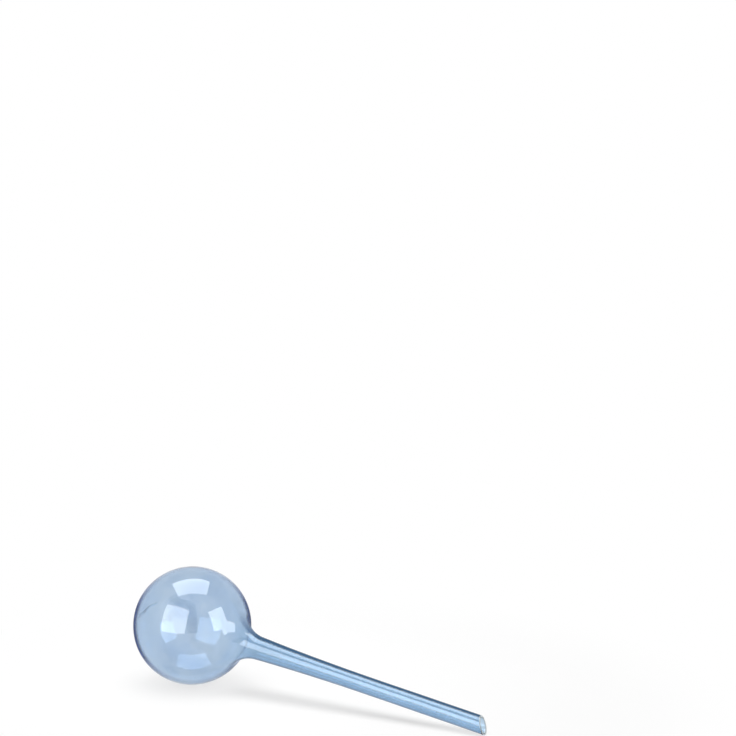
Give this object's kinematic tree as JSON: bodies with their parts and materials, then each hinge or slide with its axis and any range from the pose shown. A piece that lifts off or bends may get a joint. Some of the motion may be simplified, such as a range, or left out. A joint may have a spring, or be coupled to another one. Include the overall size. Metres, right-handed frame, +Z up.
{
  "type": "plant watering globe",
  "caption": "Translucent blue watering globe for a plant pot: a thin hollow ball with a flared neck and a long tapered hollow stem that ends in a slanted open tip.",
  "frame": {"origin": "on the floor under the middle of the lying globe's box", "axes": "+Z up, +X from the ball towards the tip of the stem, which dips to the floor"},
  "size_m": [0.2675, 0.08, 0.08],
  "materials": {
    "clear_blue_bulb": "transparent pale blue plastic, blown thin, polished",
    "clear_blue_stem": "transparent blue plastic, a little deeper where the wall is thicker, polished"
  },
  "bodies": {
    "root": {"bulb": "clear_blue_bulb", "stem": "clear_blue_stem"}
  },
  "joints": []
}
